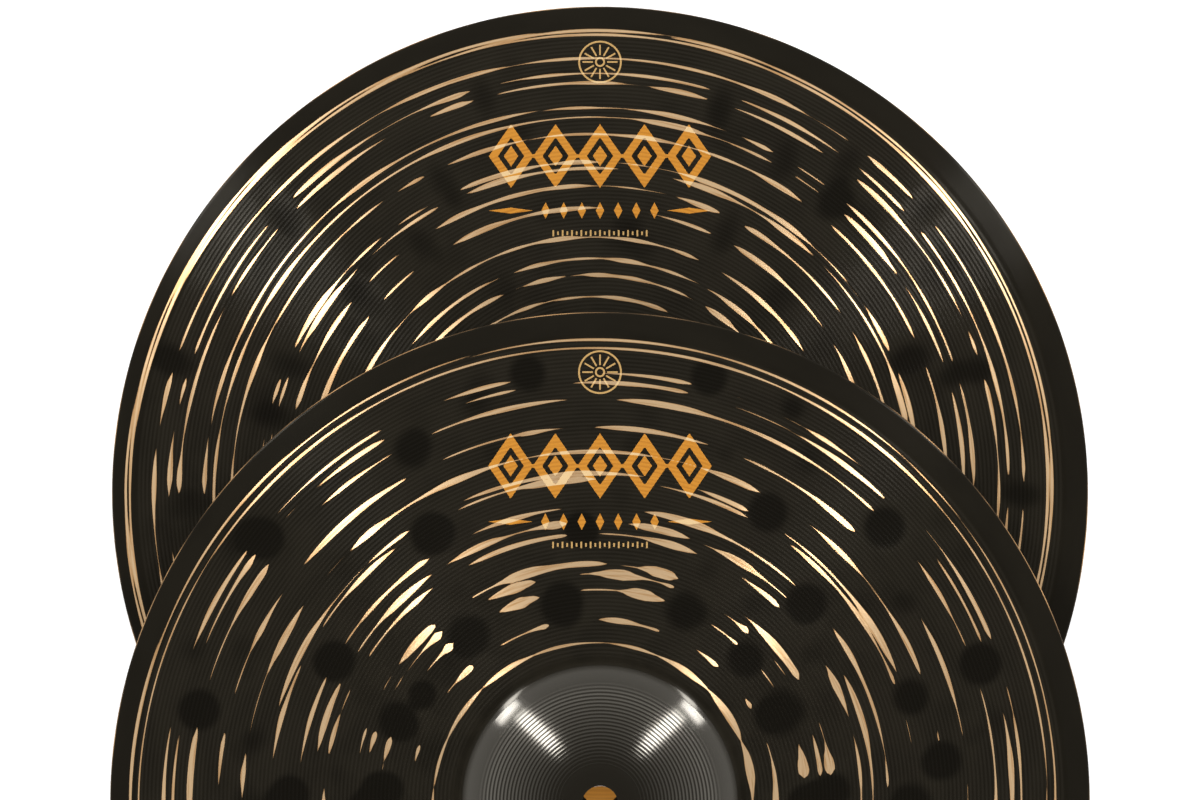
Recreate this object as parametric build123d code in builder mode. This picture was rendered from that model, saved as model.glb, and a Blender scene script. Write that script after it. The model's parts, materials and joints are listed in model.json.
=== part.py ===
"""A pair of 14 inch hi-hat cymbals, laid down together with both bells up.

The bottom cymbal lies flat on its rim. The top cymbal overlaps it: the front of its rim
touches the surface, and its hollow side leans on the crown of the bottom cymbal's bell.
Each cymbal is one spun disc of bronze: a bell, a cove, a bow that falls to the rim, and a
centre hole for the rod of a hi-hat stand. The bottom cymbal is the thicker, heavier one.

Frame: +Z up from the surface, +Y from the top cymbal to the bottom one, millimetres.
The origin is on the surface, in the middle of the pair.
"""

import os
from math import asin, cos, radians, sin, sqrt, tan

from build123d import *

# Shared outline
cymbal_diameter = 355.6  # 14 inches
hole_diameter = 13.0
bell_diameter = 100.0  # where the bell's outside meets the bow
bell_height = 19.0  # crown of the bell above that circle
bow_radius = 960.0  # the bow is a shallow cap of a sphere centred on the axis
cove_radius = 8.0  # outside blend from bell to bow
rim_rounding = 0.4
hole_deburr = 0.2

# Thickness of the metal, which tapers from the bell to the rim
bottom_bell_thickness = 1.55
bottom_rim_thickness = 1.20
top_bell_thickness = 1.20
top_rim_thickness = 0.95

# How the pair lies
centre_spacing = 114.3  # between the two rim centres, along Y
lean_angle = 5.16  # the top cymbal's, in degrees, 0.4 mm short of touching the bell

rim_radius = cymbal_diameter / 2
hole_radius = hole_diameter / 2
foot_radius = bell_diameter / 2
bell_radius = (foot_radius**2 + bell_height**2) / (2 * bell_height)


def height_on_sphere(sphere_radius, radius):
    """Height of a sphere's surface above its centre, at a radius from the axis."""
    return sqrt(sphere_radius**2 - radius**2)


def corner_at(sketch, point):
    """The corner of a sketch nearest to a point."""
    return sketch.vertices().sort_by_distance(point)[0]


def cymbal(seat, bell_thickness, rim_thickness):
    """One cymbal, with the centre of its rim's underside at the seat's origin and its
    bell along the seat's Z axis."""
    bow_centre = rim_thickness - height_on_sphere(bow_radius, rim_radius)
    foot_height = bow_centre + height_on_sphere(bow_radius, foot_radius)
    bell_centre = foot_height + bell_height - bell_radius
    inside_bell_radius = bell_radius - bell_thickness

    inside_foot_height = foot_height - bell_thickness
    inside_foot_radius = height_on_sphere(inside_bell_radius, inside_foot_height - bell_centre)

    outside_crown = (hole_radius, bell_centre + height_on_sphere(bell_radius, hole_radius))
    outside_foot = (foot_radius, foot_height)
    outside_rim = (rim_radius, rim_thickness)
    inside_rim = (rim_radius, 0)
    inside_foot = (inside_foot_radius, inside_foot_height)
    inside_crown = (
        hole_radius,
        bell_centre + height_on_sphere(inside_bell_radius, hole_radius),
    )

    section_plane = Plane(seat.origin, x_dir=seat.x_dir, z_dir=-seat.y_dir)
    with BuildPart() as disc:
        with BuildSketch(section_plane) as section:
            with BuildLine():
                RadiusArc(outside_crown, outside_foot, bell_radius)
                RadiusArc(outside_foot, outside_rim, bow_radius)
                Line(outside_rim, inside_rim)
                RadiusArc(inside_rim, inside_foot, -bow_radius)
                RadiusArc(inside_foot, inside_crown, -inside_bell_radius)
                Line(inside_crown, outside_crown)
            make_face()
            fillet(corner_at(section, outside_foot), cove_radius)
            fillet(corner_at(section, inside_foot), cove_radius + bell_thickness)
            for rim_corner in (outside_rim, inside_rim):
                fillet(corner_at(section, rim_corner), rim_rounding)
            for hole_corner in (outside_crown, inside_crown):
                chamfer(corner_at(section, hole_corner), hole_deburr)
        revolve(axis=Axis(seat.origin, seat.z_dir))
    return disc


# The lower rounding of each rim touches the surface. It is tangent to the rim's wall and to
# the bow's underside, which slopes, so its centre is a little above its radius.
lean = radians(lean_angle)
rim_slope = asin(rim_radius / bow_radius)
rounding_height = rim_rounding * (1 / cos(rim_slope) + tan(rim_slope))

bottom_seat_z = rim_rounding - rounding_height
top_seat_z = (
    rim_rounding - rounding_height * cos(lean) + (rim_radius - rim_rounding) * sin(lean)
)
bottom_seat_y = (centre_spacing - rim_radius * (1 - cos(lean))) / 2
top_seat_y = bottom_seat_y - centre_spacing

bottom_seat = Plane((0, bottom_seat_y, bottom_seat_z), x_dir=(1, 0, 0), z_dir=(0, 0, 1))
top_seat = Plane(
    (0, top_seat_y, top_seat_z), x_dir=(1, 0, 0), z_dir=(0, -sin(lean), cos(lean))
)

bottom_cymbal = cymbal(bottom_seat, bottom_bell_thickness, bottom_rim_thickness)
bottom_cymbal.part.label = "bottom_cymbal"

top_cymbal = cymbal(top_seat, top_bell_thickness, top_rim_thickness)
top_cymbal.part.label = "top_cymbal"

os.makedirs("parts", exist_ok=True)
export_step(bottom_cymbal.part, "parts/bottom_cymbal.step")
export_step(top_cymbal.part, "parts/top_cymbal.step")
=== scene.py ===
"""Looks for a pair of hi-hat cymbals: hammered and lathed bronze under a near-black patina.

Each CAD cymbal is replaced by a closed mesh on the same outline. Its hammer marks and lathe
grooves are real relief, and the streaks where a cutting tool bared the bronze follow from
them. The printed ornaments are thin films that lie on that relief.

Lengths are in millimetres until a mesh is made. On a cymbal, a point is given by its radius
from the axis and its angle in degrees, clockwise from the far side as seen from above.
"""

import json
from math import cos, degrees, hypot, pi, radians, sin, sqrt

import bpy
import numpy as np
from mathutils import Matrix, Vector


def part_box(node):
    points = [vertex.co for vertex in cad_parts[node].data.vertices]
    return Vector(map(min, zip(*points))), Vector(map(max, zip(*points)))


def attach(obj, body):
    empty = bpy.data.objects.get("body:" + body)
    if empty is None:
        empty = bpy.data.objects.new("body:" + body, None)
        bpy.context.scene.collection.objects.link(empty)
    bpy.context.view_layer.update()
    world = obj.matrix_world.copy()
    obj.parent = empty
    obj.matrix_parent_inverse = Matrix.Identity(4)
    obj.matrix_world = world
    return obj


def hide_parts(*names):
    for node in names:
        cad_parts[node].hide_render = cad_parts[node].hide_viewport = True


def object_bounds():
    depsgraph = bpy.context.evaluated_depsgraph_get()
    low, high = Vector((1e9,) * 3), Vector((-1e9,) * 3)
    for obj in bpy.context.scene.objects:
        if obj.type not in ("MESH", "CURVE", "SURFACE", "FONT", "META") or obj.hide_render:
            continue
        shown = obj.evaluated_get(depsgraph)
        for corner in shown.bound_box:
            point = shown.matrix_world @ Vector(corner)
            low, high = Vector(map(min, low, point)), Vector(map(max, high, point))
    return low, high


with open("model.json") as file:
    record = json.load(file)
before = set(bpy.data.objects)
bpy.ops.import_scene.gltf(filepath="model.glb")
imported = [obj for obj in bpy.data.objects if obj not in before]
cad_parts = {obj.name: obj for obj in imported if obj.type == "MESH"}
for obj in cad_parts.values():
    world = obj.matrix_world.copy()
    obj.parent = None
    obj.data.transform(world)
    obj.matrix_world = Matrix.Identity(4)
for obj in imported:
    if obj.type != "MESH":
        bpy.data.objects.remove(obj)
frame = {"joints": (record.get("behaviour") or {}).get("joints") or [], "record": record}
cad_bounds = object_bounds()

MM = 0.001
MOUNTS = {mount["name"]: mount for mount in frame["record"]["mounts"]}
LEAN_AXIS = Vector(frame["joints"][0]["axis"]).normalized()
BODIES = frame["record"]["behaviour"]["bodies"]
BODY_OF = {node: body for body, nodes in BODIES.items() for node in nodes}

# The outline that both cymbals share with the CAD model
low_corner, high_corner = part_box("bottom_cymbal")
RIM_RADIUS = (high_corner.x - low_corner.x) / 2 / MM
HOLE_RADIUS = MOUNTS["top_rod_hole"]["dims"]["r_mm"]
FOOT_RADIUS = 50.0
BELL_HEIGHT = 19.0
BOW_RADIUS = 960.0
COVE_RADIUS = 8.0
RIM_ROUNDING = 0.4

# Metal thickness, at the bell and at the rim
TOP_THICKNESS = (1.20, 0.95)
BOTTOM_THICKNESS = (1.55, 1.20)

# Lathe grooves, as (from radius, to radius, pitch, depth)
BELL_GROOVES = (9.0, 45.5, 1.30, 0.045)
BOW_GROOVES = (54.0, 167.5, 1.45, 0.016)
# The bell's grooves grow out of the flat by the hole, and die away towards its foot
BELL_GROOVES_GROW = (4.0, 30.0)
BELL_GROOVES_FADE = (38.0, 45.0)
FOOT_BRIGHTNESS = 0.37
RIM_BAND = (168.0, 170.5)
RIM_POLISH = 0.55

# Hammer marks: the greatest depth, and the share of a groove lost in the deepest mark
DEEPEST_MARK = 0.30
LOST_IN_MARK = 0.35
SOFT_MARK_DEPTH = 0.06
BOTTOM_MARK_DEPTH = 0.10

# Streaks: the share of a groove lost in one, and how far a groove shifts its edge
LOST_IN_STREAK = 0.9
COMBED = 0.22
CLOSED = -0.2

# The mesh
ROWS_PER_GROOVE = 4
COLUMNS = 480
SMOOTH_ROW_STEP = 0.8
UNDERSIDE_ROW_STEP = 1.6
SEAM_ANGLE = 180.0


def smooth_step(low, high, value):
    """0 up to low, 1 from high on, and smooth between; low may be the greater of the two."""
    share = np.clip((value - low) / (high - low), 0, 1)
    return share * share * (3 - 2 * share)


def on_disc(radius, angle):
    """The x and y of a radius and an angle in degrees, clockwise from +y."""
    return radius * np.sin(np.radians(angle)), radius * np.cos(np.radians(angle))


class Outline:
    """The outside of a cymbal's section, and its metal's thickness, at a radius."""

    def __init__(self, bell_thickness, rim_thickness):
        self.bell_thickness = bell_thickness
        self.rim_thickness = rim_thickness
        self.bow_centre = rim_thickness - sqrt(BOW_RADIUS**2 - RIM_RADIUS**2)
        foot = self.bow_centre + sqrt(BOW_RADIUS**2 - FOOT_RADIUS**2)
        self.dome_radius = (FOOT_RADIUS**2 + BELL_HEIGHT**2) / (2 * BELL_HEIGHT)
        self.dome_centre = foot + BELL_HEIGHT - self.dome_radius
        # The cove's circle touches the dome and the bow from outside
        from_dome = self.dome_radius + COVE_RADIUS
        from_bow = BOW_RADIUS + COVE_RADIUS
        squares = from_bow**2 - from_dome**2 - self.bow_centre**2 + self.dome_centre**2
        self.cove_z = squares / (2 * (self.dome_centre - self.bow_centre))
        self.cove_r = sqrt(from_dome**2 - (self.cove_z - self.dome_centre) ** 2)
        self.cove_start = self.cove_r * self.dome_radius / from_dome
        self.cove_end = self.cove_r * BOW_RADIUS / from_bow

    def height(self, radius):
        dome = self.dome_centre + np.sqrt(np.maximum(self.dome_radius**2 - radius**2, 0))
        bow = self.bow_centre + np.sqrt(BOW_RADIUS**2 - radius**2)
        cove = self.cove_z - np.sqrt(np.maximum(COVE_RADIUS**2 - (radius - self.cove_r) ** 2, 0))
        on_cove = np.where(radius < self.cove_end, cove, bow)
        return np.where(radius < self.cove_start, dome, on_cove)

    def thickness(self, radius):
        share = np.clip((radius - FOOT_RADIUS) / (RIM_RADIUS - FOOT_RADIUS), 0, 1)
        return self.bell_thickness + (self.rim_thickness - self.bell_thickness) * share


class Hammering:
    """Round hollows pressed into the metal, each (angle, radius, half length, half width,
    depth). The length runs outwards along the radius."""

    def __init__(self, marks):
        self.marks = marks

    def sunk(self, x, y):
        """How far the surface is pressed in."""
        depth = np.zeros_like(x)
        for angle, radius, half_length, half_width, pressed in self.marks:
            centre_x, centre_y = on_disc(radius, angle)
            out_x, out_y = on_disc(1.0, angle)
            reach = max(half_length, half_width)
            near = (np.abs(x - centre_x) < reach) & (np.abs(y - centre_y) < reach)
            if not near.any():
                continue
            off_x = x[near] - centre_x
            off_y = y[near] - centre_y
            along = (off_x * out_x + off_y * out_y) / half_length
            across = (off_x * out_y - off_y * out_x) / half_width
            bowl = np.clip(1 - along**2 - across**2, 0, 1)
            depth[near] += pressed * bowl**1.2
        return depth


def groove_wave(radius, grooves):
    """0 on the crest between two grooves to 1 in a groove's bottom."""
    start, end, pitch, _ = grooves
    wave = 0.5 - 0.5 * np.cos(2 * pi * (radius - start) / pitch)
    fade = smooth_step(start - pitch, start, radius) * smooth_step(end + pitch, end, radius)
    return wave * fade


class Cutting:
    """The passes of a tool that bared the bronze: slow spirals whose width changes round the
    disc. half_widths holds one table for each pass, over all angles."""

    ANGLES = np.linspace(-SEAM_ANGLE, SEAM_ANGLE, 1441)

    def __init__(self, radii, drift, half_widths):
        self.radii = radii
        self.drift = drift
        self.half_widths = half_widths

    def bare(self, radius, angle):
        """Distance in from the edge of the nearest bared streak; negative outside it."""
        best = np.full(radius.shape, -5.0)
        for start, half_width in zip(self.radii, self.half_widths):
            centre = start + self.drift * angle
            width = np.interp(angle, self.ANGLES, half_width)
            best = np.maximum(best, width - np.abs(radius - centre))
        return best


def wander(rng, lowest, highest, count=5):
    """A smooth, closed, random curve over the angles, from about -1 to 1."""
    turns = np.radians(Cutting.ANGLES)
    curve = np.zeros_like(turns)
    for _ in range(count):
        curve += np.sin(rng.integers(lowest, highest + 1) * turns + rng.uniform(0, 2 * pi))
    return curve / sqrt(count) / 1.2


def away_from_seam(angles):
    return smooth_step(SEAM_ANGLE, SEAM_ANGLE - 9, np.abs(angles))


# The top cymbal: each pass loses the metal at a hammer mark, comes back in a thin point past
# it, widens, and stops bluntly at the next mark.
TOP_DRIFT = -0.03
TOP_PASSES = (
    167.8, 164.8, 155.6, 152.2, 146.2, 136, 127.2, 119.3, 117.2, 107, 101.6, 97.4,
    86.6, 83, 77.2, 66.4, 57.9,
)
TOP_THIN_PASSES = (167.8, 164.8, 57.9)
TOP_MARK_REACH = 3.0

# (angle, radius, half size) of the deep marks on the far half
TOP_MARKS = (
    (-77, 149, 8.8), (-52, 156, 9), (-28, 145, 8.5), (-9.6, 158, 8), (14.4, 159, 8),
    (46, 143.5, 8.8), (70, 147, 8.8), (-89, 113, 8.5), (-62, 109, 8.5), (-32, 115, 8.8),
    (30, 121.5, 8.5), (46, 104, 8.5), (71, 119, 8), (83, 125, 8.5), (-87, 79, 8.5),
    (-68, 79, 8.5), (-59, 75, 6), (-38, 77, 9), (-4, 99, 7), (-11, 73, 9), (24, 76, 9),
    (45.6, 74, 8), (63.6, 73, 10), (87, 83, 8),
)
# The same for shallow ones, which show only as a break in the streaks
TOP_SOFT_MARKS = (
    (-70, 136, 5), (-48, 125.6, 6), (-79, 126.6, 7), (-65, 93, 8), (-34, 92, 7), (26, 159, 5),
    (20, 135.5, 5), (13.5, 124.6, 6), (80, 137.5, 6), (25, 92, 7), (55, 95, 7), (-84, 96, 6),
    (-17, 134, 6), (4, 112, 6), (57, 132, 6),
)

# The bottom cymbal: long, narrow dark smudges that run outwards
BOTTOM_DRIFT = -0.045
BOTTOM_PASSES = (
    168.7, 167.2, 158.4, 152.8, 149.2, 140, 136.4, 130.1, 119.8, 117.4, 111, 102.7, 92,
    84, 78, 70, 63, 57.5,
)
BOTTOM_THIN_PASSES = (168.7, 167.2, 57.5)
BOTTOM_MARKS = (
    (-73, 161), (-68, 123), (-77.4, 120), (-48.7, 152.6), (-51, 110.5), (-16.5, 150.6),
    (-27, 126), (-36, 110.5), (17.3, 147.7), (49, 157.5), (37, 149.6), (29, 137), (39, 136),
    (66.7, 124), (72, 140.8), (26, 105.6), (-92, 150),
)
BOTTOM_MARK_SIZE = (12.0, 7.0)


def all_round(marks, rng):
    """The marks of the far half, and the same ones turned half way round with some play."""
    turned = []
    for angle, radius, *sizes in marks:
        angle = (angle + 180 + rng.uniform(-4, 4) + 180) % 360 - 180
        turned.append((angle, radius + rng.uniform(-4, 4), *sizes))
    return list(marks) + turned


def old_marks(rng, count):
    """Shallow marks from the first hammering, which the lathe has mostly cut away."""
    marks = []
    for _ in range(count):
        size = rng.uniform(7, 12)
        radius = sqrt(rng.uniform(58**2, (RIM_RADIUS - 8) ** 2))
        marks.append((rng.uniform(-180, 180), radius, size, size, rng.uniform(0.02, 0.05)))
    return marks


def closed(half_width, share):
    """A half width drawn down to clearly nothing where share is 0."""
    return (half_width - CLOSED) * share + CLOSED


def turned_gap(first, second):
    """The angle between two directions, taken the short way round."""
    return np.abs((first - second + 180) % 360 - 180)


def tapered_widths(passes, drift, deep, soft, rng):
    """Half widths of the top cymbal's passes. since and ahead are the degrees from the last
    mark on a pass and to the next one."""
    angles = Cutting.ANGLES
    no_mark = 40.0
    tables = []
    for start in passes:
        since = np.full(angles.shape, no_mark)
        ahead = np.full(angles.shape, no_mark)
        kept = np.ones(angles.shape)
        for angle, radius, size in deep:
            if abs(radius - (start + drift * angle)) > size + TOP_MARK_REACH:
                continue
            half_angle = degrees(size / radius)
            since = np.minimum(since, (angles - angle) % 360 - 0.6 * half_angle)
            ahead = np.minimum(ahead, (angle - angles) % 360 - 0.7 * half_angle)
        for angle, radius, size in soft:
            if abs(radius - (start + drift * angle)) < size:
                half_angle = degrees(size / radius)
                gap = turned_gap(angles, angle)
                kept *= smooth_step(0.4 * half_angle, half_angle + 5, gap)
        widest = np.interp(start, (60, 80, 100, 160), (1.2, 2.1, 1.35, 1.05))
        swell = widest * np.minimum(0.5 + 0.5 * wander(rng, 6, 22), 1.0)
        swell = closed(swell, kept * smooth_step(0.5, 13, since))
        trace = closed(0.03 + 0.22 * wander(rng, 3, 9), smooth_step(0, 3, since))
        table = closed(np.maximum(swell, trace), np.sqrt(np.clip(ahead / 1.6, 0, 1)))
        if start in TOP_THIN_PASSES:
            thickest = np.interp(start, (60, 160), (0.8, 0.3))
            table = 0.18 + thickest * np.abs(wander(rng, 3, 11))
        tables.append(closed(table, away_from_seam(angles)))
    return tables


def lens_widths(passes, drift, marks, rng):
    """Half widths of the bottom cymbal's passes: lines that swell into lenses and here and
    there run out. The lenses of neighbouring passes lie side by side."""
    angles = Cutting.ANGLES
    swells = [(radius, wander(rng, 7, 27)) for radius in range(50, 190, 14)]
    tables = []
    for start in passes:
        swell = sum(np.clip(1 - abs(start - r) / 14, 0, 1) * curve for r, curve in swells)
        swell = swell * 0.75 + 0.45 * wander(rng, 8, 36)
        table = -0.02 + 1.05 * smooth_step(-1.2, 1.5, swell)
        for angle, radius, half_length, half_width, _ in marks:
            if abs(radius - (start + drift * angle)) > 0.65 * half_length:
                continue
            half_angle = degrees(half_width / radius)
            gap = turned_gap(angles, angle)
            table = closed(table, smooth_step(0.2 * half_angle, 1.3 * half_angle, gap))
        if start in BOTTOM_THIN_PASSES:
            table = 0.3 + 0.22 * np.abs(wander(rng, 4, 16))
        tables.append(closed(table, away_from_seam(angles)))
    return tables


class Cymbal:
    """One cymbal's surface, in its own frame: z along its axis, from its rim's underside."""

    def __init__(self, node, mount, axis, outline, hammering, cutting):
        self.node = node
        self.body = BODY_OF[node]
        self.outline = outline
        self.hammering = hammering
        self.cutting = cutting
        edge = np.array(HOLE_RADIUS)
        middle = outline.height(edge) - outline.bell_thickness / 2
        origin = Vector(MOUNTS[mount]["pos_m"]) - axis * float(middle) * MM
        across = Vector((1, 0, 0))
        up = axis.cross(across)
        rotation = Matrix((across, up, axis)).transposed().to_4x4()
        self.placement = Matrix.Translation(origin) @ rotation

    def relief(self, x, y):
        """Height of the outside over the smooth outline, the depth of the hammer marks in
        it, and 0 to 1 for how bright the lathe left it."""
        radius = np.hypot(x, y)
        depth = self.hammering.sunk(x, y)
        missed = LOST_IN_MARK * np.clip(depth / DEEPEST_MARK, 0, 1)
        bared = LOST_IN_STREAK * smooth_step(-0.2, 0.1, self.bare(x, y))
        smoothed = smooth_step(*BELL_GROOVES_FADE, radius)
        kept = smooth_step(*BELL_GROOVES_GROW, radius) * (1 - smoothed)
        bell_wave = groove_wave(radius, BELL_GROOVES) * kept
        bow_wave = groove_wave(radius, BOW_GROOVES) * (1 - missed) * (1 - bared)
        grooves = BELL_GROOVES[3] * bell_wave + BOW_GROOVES[3] * bow_wave
        foot_ring = FOOT_BRIGHTNESS * smoothed * (radius < FOOT_RADIUS + 1)
        return -depth - grooves, depth, bell_wave + bow_wave + foot_ring

    def surface(self, x, y):
        return self.outline.height(np.hypot(x, y)) + self.relief(x, y)[0]

    def bare(self, x, y):
        """Distance in from a streak's edge, which reaches further on a crest than in a groove."""
        radius = np.hypot(x, y)
        distance = self.cutting.bare(radius, np.degrees(np.arctan2(x, y)))
        return distance + COMBED * (0.5 - groove_wave(radius, BOW_GROOVES))


def groove_rows(grooves):
    start, end, pitch, _ = grooves
    return np.arange(start, end, pitch / ROWS_PER_GROOVE)


def outside_rows():
    """Radii of the rows on the outside, from the hole to the rim."""
    bell = groove_rows(BELL_GROOVES)
    bow = groove_rows(BOW_GROOVES)
    stretches = (
        np.linspace(HOLE_RADIUS + 0.2, bell[0] - 0.4, 7),
        bell,
        np.arange(bell[-1] + 0.5, bow[0] - 0.3, 0.5),
        bow,
        np.arange(bow[-1] + 0.5, RIM_RADIUS - RIM_ROUNDING - 0.3, SMOOTH_ROW_STEP),
        [RIM_RADIUS - RIM_ROUNDING],
    )
    return np.concatenate(stretches)


def section(outline):
    """The closed loop of a cymbal's section, as radius, height and side: 1 outside, -1 under
    and 0 on the two edges."""
    out_r = outside_rows()
    out_z = outline.height(out_r)
    under_r = np.arange(RIM_RADIUS - RIM_ROUNDING, HOLE_RADIUS + 0.3, -UNDERSIDE_ROW_STEP)
    under_z = outline.height(under_r)
    step = 0.01
    slope = (outline.height(under_r + step) - outline.height(under_r - step)) / (2 * step)
    thickness = outline.thickness(under_r)
    lean = np.sqrt(1 + slope**2)
    under_r = np.maximum(under_r + thickness * slope / lean, HOLE_RADIUS + 0.2)
    under_z = under_z - thickness / lean

    turn = np.radians(np.linspace(75, -75, 7))
    half = outline.rim_thickness / 2
    rim_r = RIM_RADIUS - RIM_ROUNDING + RIM_ROUNDING * np.cos(turn)
    rim_z = half + half * np.sin(turn) * 0.98
    hole_z = np.linspace(under_z[-1] + 0.2, out_z[0] - 0.2, 4)
    hole_r = np.full(4, HOLE_RADIUS)

    radius = np.concatenate((out_r, rim_r, under_r, hole_r))
    height = np.concatenate((out_z, rim_z, under_z, hole_z))
    counts = (len(out_r), len(rim_r), len(under_r), len(hole_r))
    side = np.repeat((1, 0, -1, 0), counts)
    return radius, height, side


def polish_at(radius):
    """0 on the dull bow to 1 on the polished bell; the band along the rim lies between."""
    bell = smooth_step(FOOT_RADIUS + 0.6, FOOT_RADIUS - 0.6, radius)
    return bell + RIM_POLISH * smooth_step(*RIM_BAND, radius)


def cymbal_mesh(cymbal):
    """The closed mesh: the section's loop, turned round the axis and pressed by the relief."""
    radius, height, side = section(cymbal.outline)
    angle = np.linspace(-SEAM_ANGLE, SEAM_ANGLE, COLUMNS, endpoint=False)
    x, y = on_disc(radius[:, None], angle[None, :])
    lift, pressed, cut = cymbal.relief(x, y)
    outside = (side == 1)[:, None]
    z = height[:, None] + np.where(outside, lift, -pressed)
    bare = cymbal.bare(x, y)
    bare = np.where(outside, bare, np.where((side == -1)[:, None], bare - 0.25, -0.03))

    rows, columns = x.shape
    index = np.arange(rows * columns).reshape(rows, columns)
    down = np.roll(index, -1, axis=0)
    corners = (index, np.roll(index, -1, axis=1), np.roll(down, -1, axis=1), down)
    faces = np.stack(corners, axis=-1).reshape(-1, 4)
    points = np.stack((x, y, z), axis=-1).reshape(-1, 3) * MM
    mesh = bpy.data.meshes.new(cymbal.node + "_bronze")
    mesh.from_pydata(points.tolist(), [], faces.tolist())
    polish = np.broadcast_to(polish_at(radius)[:, None], x.shape)
    for name, values in (("bare", bare), ("cut", cut), ("pressed", pressed), ("polish", polish)):
        attribute = mesh.attributes.new(name, "FLOAT", "POINT")
        attribute.data.foreach_set("value", values.astype(np.float32).ravel())
    mesh.shade_smooth()
    return mesh


# Printed ornaments. Each is a signed distance, in mm and positive in the ink, from u to the
# right and v outwards, about the ornament's own centre.


def repeated(u, pitch, count):
    """u from the centre of the nearest of an odd count of cells in a row."""
    return u - pitch * np.clip(np.round(u / pitch), -(count // 2), count // 2)


def lozenge(u, v, half_width, half_height):
    reach = 1 - np.abs(u) / half_width - np.abs(v) / half_height
    return reach * half_width * half_height / hypot(half_width, half_height)


def lozenge_band(u, v):
    """Five upright lozenges in thick outline, each round a small solid one."""
    half_width, half_height, stroke = 8.1, 11.8, 2.7
    cell = repeated(u, 2 * half_width, 5)
    outer = lozenge(cell, v, half_width, half_height)
    return np.maximum(np.minimum(outer, stroke - outer), lozenge(cell, v, 2.6, 3.8))


def solid_band(u, v):
    """Five solid lozenges side by side."""
    half_width, half_height = 8.1, 9.0
    return lozenge(repeated(u, 2 * half_width, 5), v, half_width, half_height)


def bead_row(u, v):
    """Seven small lozenges between two dashes that taper outwards."""
    beads = lozenge(repeated(u, 6.6, 7), v, 1.5, 3.0)
    return np.maximum(beads, lozenge(np.abs(u) - 32.5, v, 8.0, 1.1))


def tick_row(u, v):
    """Twenty-one fine ticks, the odd ones short."""
    pitch, count = 1.7, 21
    number = np.clip(np.round(u / pitch), -(count // 2), count // 2)
    half_height = np.where(number % 2 == 0, 1.15, 0.65)
    return np.minimum(0.3 - np.abs(u - pitch * number), half_height - np.abs(v))


def sun_wheel(u, v):
    """A thin ring with twelve fine rays and a hub."""
    radius = np.hypot(u, v)
    rays = 12
    turn = np.arctan2(u, v) / (2 * pi) * rays
    off_ray = (turn - np.round(turn)) * 2 * pi / rays * radius
    ray = np.minimum(0.28 - np.abs(off_ray), 1.9 - np.abs(radius - 4.5))
    ring = 0.32 - np.abs(radius - 7.6)
    hub = 0.32 - np.abs(radius - 1.5)
    return np.maximum(ring, np.maximum(ray, hub))


FILM_GAP = 0.04
FILM_THICKNESS = 0.03


def film(cymbal, name, shape, centre, half_size, step, material, turned=False):
    """A print: a thin closed film on the cymbal's outside, cut to an ornament's outline."""
    half_u, half_v = half_size
    u, v = np.meshgrid(
        np.linspace(-half_u, half_u, round(2 * half_u / step) + 1),
        np.linspace(-half_v, half_v, round(2 * half_v / step) + 1),
    )
    distance = shape(u, v)
    inked = distance > 0
    wanted = inked[:-1, :-1] | inked[1:, :-1] | inked[:-1, 1:] | inked[1:, 1:]
    # Corners of those cells that lie outside the ink are drawn in to its edge
    small = step / 20
    rise_u = (shape(u + small, v) - shape(u - small, v)) / (2 * small)
    rise_v = (shape(u, v + small) - shape(u, v - small)) / (2 * small)
    steepness = np.maximum(rise_u**2 + rise_v**2, 0.2)
    short = np.clip(-distance, 0, step) / steepness
    u = u + rise_u * short
    v = v + rise_v * short

    flip = -1 if turned else 1
    x = flip * (u + centre[0])
    y = flip * (v + centre[1])
    z = cymbal.surface(x, y) + FILM_GAP
    index = np.arange(x.size).reshape(x.shape)
    cells = np.stack((index[:-1, :-1], index[:-1, 1:], index[1:, 1:], index[1:, :-1]), axis=-1)
    faces = cells[wanted]
    used, faces = np.unique(faces, return_inverse=True)
    points = np.stack((x, y, z), axis=-1).reshape(-1, 3)[used] * MM
    mesh = bpy.data.meshes.new(name)
    mesh.from_pydata(points.tolist(), [], faces.reshape(-1, 4).tolist())
    for kind, values in (("bare", cymbal.bare(x, y)), ("cut", cymbal.relief(x, y)[2])):
        attribute = mesh.attributes.new(kind, "FLOAT", "POINT")
        attribute.data.foreach_set("value", values.ravel()[used].astype(np.float32))
    mesh.shade_smooth()
    mesh.materials.append(material)
    print_object = place(name, mesh, cymbal)
    solid = print_object.modifiers.new("film", "SOLIDIFY")
    solid.thickness = FILM_THICKNESS * MM
    solid.offset = 1


def place(name, mesh, cymbal):
    piece = bpy.data.objects.new(name, mesh)
    bpy.context.scene.collection.objects.link(piece)
    piece.matrix_world = cymbal.placement
    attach(piece, cymbal.body)
    return piece


# Materials


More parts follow.
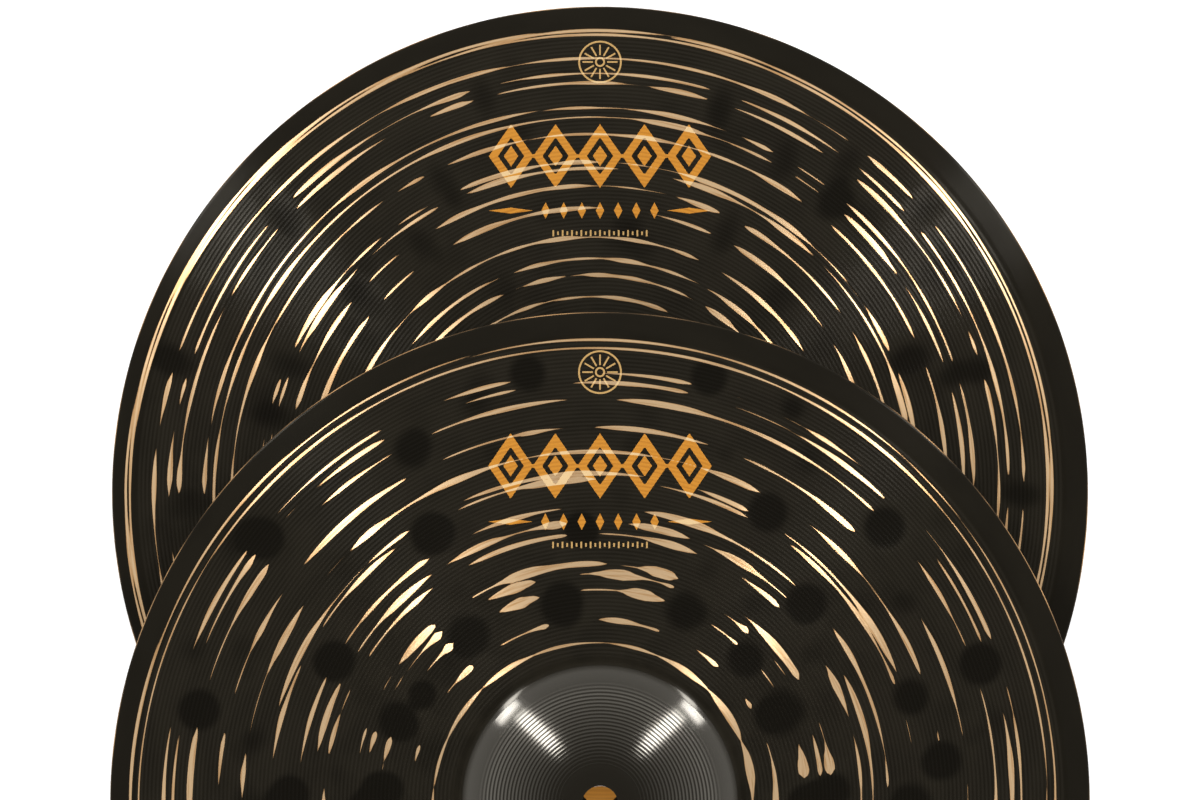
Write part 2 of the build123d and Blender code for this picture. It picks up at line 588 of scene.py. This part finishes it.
class Nodes:
    """Short calls for building one material's nodes."""

    def __init__(self, name):
        self.material = bpy.data.materials.new(name)
        self.material.use_nodes = True
        self.tree = self.material.node_tree
        self.shader = self.tree.nodes["Principled BSDF"]

    def add(self, kind, **settings):
        node = self.tree.nodes.new(kind)
        for key, value in settings.items():
            setattr(node, key, value)
        return node

    def link(self, source, target):
        self.tree.links.new(source, target)

    def attribute(self, name):
        return self.add("ShaderNodeAttribute", attribute_name=name).outputs["Fac"]

    def math(self, operation, first, second=0.0):
        node = self.add("ShaderNodeMath", operation=operation)
        for socket, value in zip(node.inputs, (first, second)):
            if isinstance(value, (int, float)):
                socket.default_value = value
            else:
                self.link(value, socket)
        return node.outputs[0]

    def ramp(self, value, low, high, to_low=0.0, to_high=1.0, kind="SMOOTHSTEP"):
        node = self.add("ShaderNodeMapRange", interpolation_type=kind)
        self.link(value, node.inputs["Value"])
        limits = {"From Min": low, "From Max": high, "To Min": to_low, "To Max": to_high}
        for key, number in limits.items():
            node.inputs[key].default_value = number
        return node.outputs["Result"]

    def mix(self, factor, first, second):
        node = self.add("ShaderNodeMix", data_type="RGBA")
        self.link(factor, node.inputs["Factor"])
        for socket, value in ((node.inputs["A"], first), (node.inputs["B"], second)):
            if isinstance(value, tuple):
                socket.default_value = (*value, 1.0)
            else:
                self.link(value, socket)
        return node.outputs["Result"]

    def turned_noise(self, around, outwards, detail=3.0):
        """Noise drawn out round the object's axis: coarse around it, fine outwards."""
        place_on = self.add("ShaderNodeTexCoord").outputs["Object"]
        parts = self.add("ShaderNodeSeparateXYZ")
        self.link(place_on, parts.inputs[0])
        across, along = parts.outputs[0], parts.outputs[1]
        squares = self.math("ADD", self.math("MULTIPLY", across, across),
                            self.math("MULTIPLY", along, along))
        radius = self.math("SQRT", squares)
        joined = self.add("ShaderNodeCombineXYZ")
        self.link(self.math("MULTIPLY", self.math("DIVIDE", across, radius), around),
                  joined.inputs[0])
        self.link(self.math("MULTIPLY", self.math("DIVIDE", along, radius), around),
                  joined.inputs[1])
        self.link(self.math("MULTIPLY", radius, outwards), joined.inputs[2])
        noise = self.add("ShaderNodeTexNoise")
        noise.inputs["Scale"].default_value = 1.0
        noise.inputs["Detail"].default_value = detail
        self.link(joined.outputs[0], noise.inputs["Vector"])
        return noise.outputs["Fac"]

    def bump(self, height, distance):
        node = self.add("ShaderNodeBump")
        node.inputs["Strength"].default_value = 1.0
        node.inputs["Distance"].default_value = distance
        self.link(height, node.inputs["Height"])
        self.link(node.outputs["Normal"], self.shader.inputs["Normal"])


PATINA = (0.0073, 0.0062, 0.0043)
PATINA_WORN = (0.0098, 0.0083, 0.0057)
PATINA_CUT = (0.0135, 0.0114, 0.0079)
PATINA_DEEP = (0.0042, 0.0036, 0.0026)
PATINA_BELL = (0.0078, 0.0067, 0.0048)
PATINA_GLOSS = (1.0, 0.94, 0.82)
PATINA_ROUGHNESS = 0.20
BELL_ROUGHNESS = 0.14
BARE_ROUGHNESS = 0.40
# Specular level on the bow and on the bell, and the share of it left in a mark
BOW_SHINE = 0.09
BELL_SHINE = 0.80
MARK_SHINE = 0.6
BOW_ANISOTROPY = 0.93
BELL_ANISOTROPY = 0.3
BARE_BRONZE = (0.84, 0.585, 0.335)
BARE_SCRATCH = (0.66, 0.38, 0.17)
INK_ORANGE = (0.69, 0.287, 0.033)
INK_GROOVE = (0.48, 0.180, 0.020)
INK_OVER_BARE = (0.85, 0.60, 0.31)
INK_GOLD = (0.60, 0.37, 0.135)
FLOOR_COLOUR = (0.94, 0.94, 0.94)
FLOOR_GLOW = 0.6


def bronze_material():
    nodes = Nodes("blackened_bronze")
    bare = nodes.attribute("bare")
    cut = nodes.attribute("cut")
    pressed = nodes.attribute("pressed")
    polish = nodes.attribute("polish")
    fine = nodes.turned_noise(14.0, 5200.0)
    scratches = nodes.turned_noise(7.0, 1300.0, detail=1.0)
    coarse = nodes.turned_noise(5.0, 90.0)

    mottled = nodes.mix(nodes.ramp(coarse, 0.35, 0.65), PATINA, PATINA_WORN)
    lathed = nodes.mix(nodes.math("MULTIPLY", cut, fine), mottled, PATINA_CUT)
    lathed = nodes.mix(polish, lathed, PATINA_BELL)
    hammered = nodes.ramp(pressed, 0.05 * DEEPEST_MARK, 0.5 * DEEPEST_MARK, 0.0, 0.9)
    patina = nodes.mix(hammered, lathed, PATINA_DEEP)
    metal = nodes.mix(nodes.ramp(scratches, 0.45, 0.75), BARE_BRONZE, BARE_SCRATCH)
    metal = nodes.mix(nodes.ramp(bare, 0.16, 0.02), metal, BARE_SCRATCH)
    # A streak's edge wavers a little
    waver = nodes.math("MULTIPLY", nodes.math("SUBTRACT", coarse, 0.5), 0.2)
    edge = nodes.math("ADD", bare, waver)
    showing = nodes.ramp(edge, -0.05, 0.05)
    nodes.link(nodes.mix(showing, patina, metal), nodes.shader.inputs["Base Color"])
    dull = nodes.ramp(polish, 0.0, 1.0, PATINA_ROUGHNESS, BELL_ROUGHNESS, "LINEAR")
    duller = nodes.math("MULTIPLY", showing, BARE_ROUGHNESS - PATINA_ROUGHNESS)
    nodes.link(nodes.math("ADD", dull, duller), nodes.shader.inputs["Roughness"])
    # The patina reflects little: most on the bell, where the tool cut, and least in a mark
    shine = nodes.ramp(polish, 0.3, 1.0, BOW_SHINE, BELL_SHINE)
    shine = nodes.math("MULTIPLY", shine, nodes.ramp(cut, 0.1, 0.9, 0.12, 1.2))
    unmarked = nodes.ramp(hammered, 0.0, 1.0, 1.0, MARK_SHINE, "LINEAR")
    shine = nodes.math("MULTIPLY", shine, unmarked)
    nodes.link(shine, nodes.shader.inputs["Specular IOR Level"])
    nodes.shader.inputs["Specular Tint"].default_value = (*PATINA_GLOSS, 1.0)
    nodes.link(showing, nodes.shader.inputs["Metallic"])
    stretch = nodes.ramp(polish, 0.4, 1.0, BOW_ANISOTROPY, BELL_ANISOTROPY)
    nodes.link(stretch, nodes.shader.inputs["Anisotropic"])
    nodes.shader.inputs["Anisotropic Rotation"].default_value = 0.25
    tangent = nodes.add("ShaderNodeTangent", direction_type="RADIAL", axis="Z")
    nodes.link(tangent.outputs[0], nodes.shader.inputs["Tangent"])
    roughened = nodes.math("MULTIPLY", fine, nodes.ramp(polish, 0.4, 1.0, 1.0, 0.1))
    nodes.bump(roughened, 0.000012)
    return nodes.material


def ink_material(name, colour, in_groove, over_bare):
    """Ink that lies darker in the lathe grooves and paler over bared bronze."""
    nodes = Nodes(name)
    bare = nodes.attribute("bare")
    cut = nodes.attribute("cut")
    fine = nodes.turned_noise(9.0, 2600.0)
    grain = nodes.mix(nodes.math("MULTIPLY", cut, nodes.ramp(fine, 0.2, 0.7)), colour, in_groove)
    showing = nodes.ramp(bare, -0.05, 0.05)
    nodes.link(nodes.mix(showing, grain, over_bare), nodes.shader.inputs["Base Color"])
    nodes.shader.inputs["Roughness"].default_value = 0.5
    nodes.shader.inputs["Specular IOR Level"].default_value = 0.15
    nodes.bump(fine, 0.00001)
    return nodes.material


def floor_material():
    nodes = Nodes("pale_floor")
    nodes.shader.inputs["Base Color"].default_value = (*FLOOR_COLOUR, 1)
    nodes.shader.inputs["Roughness"].default_value = 0.9
    nodes.shader.inputs["Specular IOR Level"].default_value = 0.1
    nodes.shader.inputs["Emission Color"].default_value = (1, 1, 1, 1)
    nodes.shader.inputs["Emission Strength"].default_value = FLOOR_GLOW
    return nodes.material


# The two cymbals


def make_top():
    rng = np.random.default_rng(14)
    deep = all_round(TOP_MARKS, rng)
    soft = all_round(TOP_SOFT_MARKS, rng)
    pressed = []
    for angle, radius, size in deep:
        # The hollow reaches a little past the break that it leaves in the streaks
        reach = 1.1 * size
        pressed.append((angle, radius, reach, reach, DEEPEST_MARK * rng.uniform(0.6, 1)))
    pressed += [(a, r, size, size, SOFT_MARK_DEPTH) for a, r, size in soft]
    widths = tapered_widths(TOP_PASSES, TOP_DRIFT, deep, soft, rng)
    return Cymbal(
        "top_cymbal", "top_rod_hole", LEAN_AXIS, Outline(*TOP_THICKNESS),
        Hammering(pressed + old_marks(rng, 260)), Cutting(TOP_PASSES, TOP_DRIFT, widths),
    )


def make_bottom():
    rng = np.random.default_rng(41)
    marks = [(a, r, *BOTTOM_MARK_SIZE, BOTTOM_MARK_DEPTH) for a, r in BOTTOM_MARKS]
    deep = all_round(marks, rng)
    widths = lens_widths(BOTTOM_PASSES, BOTTOM_DRIFT, deep, rng)
    return Cymbal(
        "bottom_cymbal", "bottom_rod_hole", Vector((0, 0, 1)), Outline(*BOTTOM_THICKNESS),
        Hammering(deep + old_marks(rng, 300)), Cutting(BOTTOM_PASSES, BOTTOM_DRIFT, widths),
    )


def add_prints(cymbal, wheel_centre, orange, gold):
    for name, shape, centre, half_size, step, ink in (
        ("band", lozenge_band, (0, 122), (41.5, 12.5), 0.4, orange),
        ("beads", bead_row, (0, 101.8), (41.5, 3.6), 0.3, orange),
        ("ticks", tick_row, (0, 93.4), (17.8, 1.5), 0.15, gold),
        ("wheel", sun_wheel, (0, wheel_centre), (8.2, 8.2), 0.2, gold),
    ):
        film(cymbal, cymbal.node + "_print_" + name, shape, centre, half_size, step, ink)
    film(cymbal, cymbal.node + "_print_near_band", solid_band, (0, 109.5), (41.5, 9.5), 0.4,
         orange, turned=True)


bronze = bronze_material()
orange_ink = ink_material("orange_ink", INK_ORANGE, INK_GROOVE, INK_OVER_BARE)
gold_ink = ink_material("gold_ink", INK_GOLD, INK_GOLD, INK_OVER_BARE)
top = make_top()
bottom = make_bottom()
for cymbal, wheel_centre in ((top, 156), (bottom, 157)):
    mesh = cymbal_mesh(cymbal)
    mesh.materials.append(bronze)
    disc = place(cymbal.node + "_bronze", mesh, cymbal)
    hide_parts(cymbal.node)
    add_prints(cymbal, wheel_centre, orange_ink, gold_ink)


# Floor, light and camera


def add_floor():
    mesh = bpy.data.meshes.new("floor")
    reach = 8.0
    mesh.from_pydata(
        [(-reach, -reach, 0), (reach, -reach, 0), (reach, reach, 0), (-reach, reach, 0)],
        [], [(0, 1, 2, 3)],
    )
    mesh.materials.append(floor_material())
    floor = bpy.data.objects.new("floor", mesh)
    floor.location.z = cad_bounds[0].z - 0.0002
    bpy.context.scene.collection.objects.link(floor)


# Lamps: azimuth and elevation in degrees, distance and size in metres, power in watts
SOFTBOX_AZIMUTH = 46
SOFTBOX_ELEVATION = 40
SOFTBOX_DISTANCE = 1.6
SOFTBOX_SIZE = (0.20, 0.92)
SOFTBOX_POWER = 14.5
BELL_LIGHT_AZIMUTH = 47
BELL_LIGHT_ELEVATION = 17
BELL_LIGHT_DISTANCE = 0.21
BELL_LIGHT_SIZE = (0.055, 0.018)
BELL_LIGHT_POWER = 0.0045
BELL_LIGHT_BEAM = 30.0
GLINT_RADIUS = 46.3
GAP_LIGHT_POWER = 0.02
HORIZON_STRENGTH = 2.6
ZENITH_STRENGTH = 0.46


def add_softbox(name, azimuth, elevation, distance, size, power, target, lit):
    """A rectangular lamp that lights one collection. Its azimuth is in degrees clockwise
    from +Y, as seen from above."""
    lamp = bpy.data.lights.new(name, "AREA")
    lamp.shape = "RECTANGLE"
    lamp.size, lamp.size_y = size
    lamp.energy = power
    softbox = bpy.data.objects.new(name, lamp)
    turn, rise = radians(azimuth), radians(elevation)
    away = Vector((sin(turn) * cos(rise), cos(turn) * cos(rise), sin(rise)))
    softbox.location = target + away * distance
    softbox.rotation_mode = "QUATERNION"
    softbox.rotation_quaternion = (-away).to_track_quat("-Z", "Y")
    softbox.visible_camera = False
    softbox.light_linking.receiver_collection = lit
    bpy.context.scene.collection.objects.link(softbox)
    return softbox


def add_bell_light(side):
    """A small lamp whose narrow beam gives the top bell the glint at its foot."""
    azimuth = side * BELL_LIGHT_AZIMUTH
    height = float(top.outline.height(GLINT_RADIUS))
    spot = Vector((*on_disc(GLINT_RADIUS, azimuth), height)) * MM
    lit = bpy.data.collections.new(f"bell_light_{side}_lights")
    lit.objects.link(bpy.data.objects["top_cymbal_bronze"])
    lamp = add_softbox(
        f"bell_light_{side}", azimuth, BELL_LIGHT_ELEVATION, BELL_LIGHT_DISTANCE,
        BELL_LIGHT_SIZE, BELL_LIGHT_POWER, top.placement @ spot, lit,
    )
    lamp.data.spread = radians(BELL_LIGHT_BEAM)


def add_gap_light():
    """A small lamp between the cymbals, so that the print under the rod hole isn't black."""
    lamp = bpy.data.lights.new("gap_light", "POINT")
    lamp.energy = GAP_LIGHT_POWER
    lamp.shadow_soft_size = 0.004
    light = bpy.data.objects.new("gap_light", lamp)
    hole = Vector(MOUNTS["top_rod_hole"]["pos_m"])
    light.location = hole - LEAN_AXIS * 0.012 + Vector((0, -0.012, 0))
    light.visible_camera = False
    bpy.context.scene.collection.objects.link(light)


def add_world():
    """An even studio: white all round, brightest towards the horizon."""
    world = bpy.data.worlds.new("studio")
    bpy.context.scene.world = world
    world.use_nodes = True
    nodes, links = world.node_tree.nodes, world.node_tree.links
    direction = nodes.new("ShaderNodeTexCoord")
    parts = nodes.new("ShaderNodeSeparateXYZ")
    links.new(direction.outputs["Generated"], parts.inputs[0])
    fall = nodes.new("ShaderNodeMapRange")
    fall.interpolation_type = "SMOOTHSTEP"
    fall.inputs["From Min"].default_value = 0.0
    fall.inputs["From Max"].default_value = 0.95
    fall.inputs["To Min"].default_value = HORIZON_STRENGTH
    fall.inputs["To Max"].default_value = ZENITH_STRENGTH
    links.new(parts.outputs[2], fall.inputs["Value"])
    links.new(fall.outputs["Result"], nodes["Background"].inputs["Strength"])
    nodes["Background"].inputs["Color"].default_value = (1, 1, 1, 1)


def add_camera():
    """Square on to the top cymbal, with the bottom one above it in the picture."""
    frame_width = 435.5
    rise = 145.9
    distance = 7.0
    data = bpy.data.cameras.new("camera")
    data.sensor_width = 36.0
    data.lens = data.sensor_width * distance / (frame_width * MM)
    data.clip_start = 0.5
    data.clip_end = 60.0
    camera = bpy.data.objects.new("camera", data)
    bpy.context.scene.collection.objects.link(camera)
    rotation = top.placement.to_3x3()
    middle = top.placement @ Vector((0, rise * MM, top.outline.rim_thickness * MM))
    camera.matrix_world = Matrix.Translation(middle + LEAN_AXIS * distance) @ rotation.to_4x4()
    bpy.context.scene.camera = camera


middle = (cad_bounds[0] + cad_bounds[1]) / 2
add_floor()
add_world()
add_gap_light()
bronzes = bpy.data.collections.new("bronzes")
for name in ("top_cymbal_bronze", "bottom_cymbal_bronze"):
    bronzes.objects.link(bpy.data.objects[name])
for side in (-1, 1):
    add_softbox(
        f"softbox_{side}", side * SOFTBOX_AZIMUTH, SOFTBOX_ELEVATION, SOFTBOX_DISTANCE,
        SOFTBOX_SIZE, SOFTBOX_POWER, middle, bronzes,
    )
    add_bell_light(side)
add_camera()

bpy.context.scene.view_settings.view_transform = "Standard"
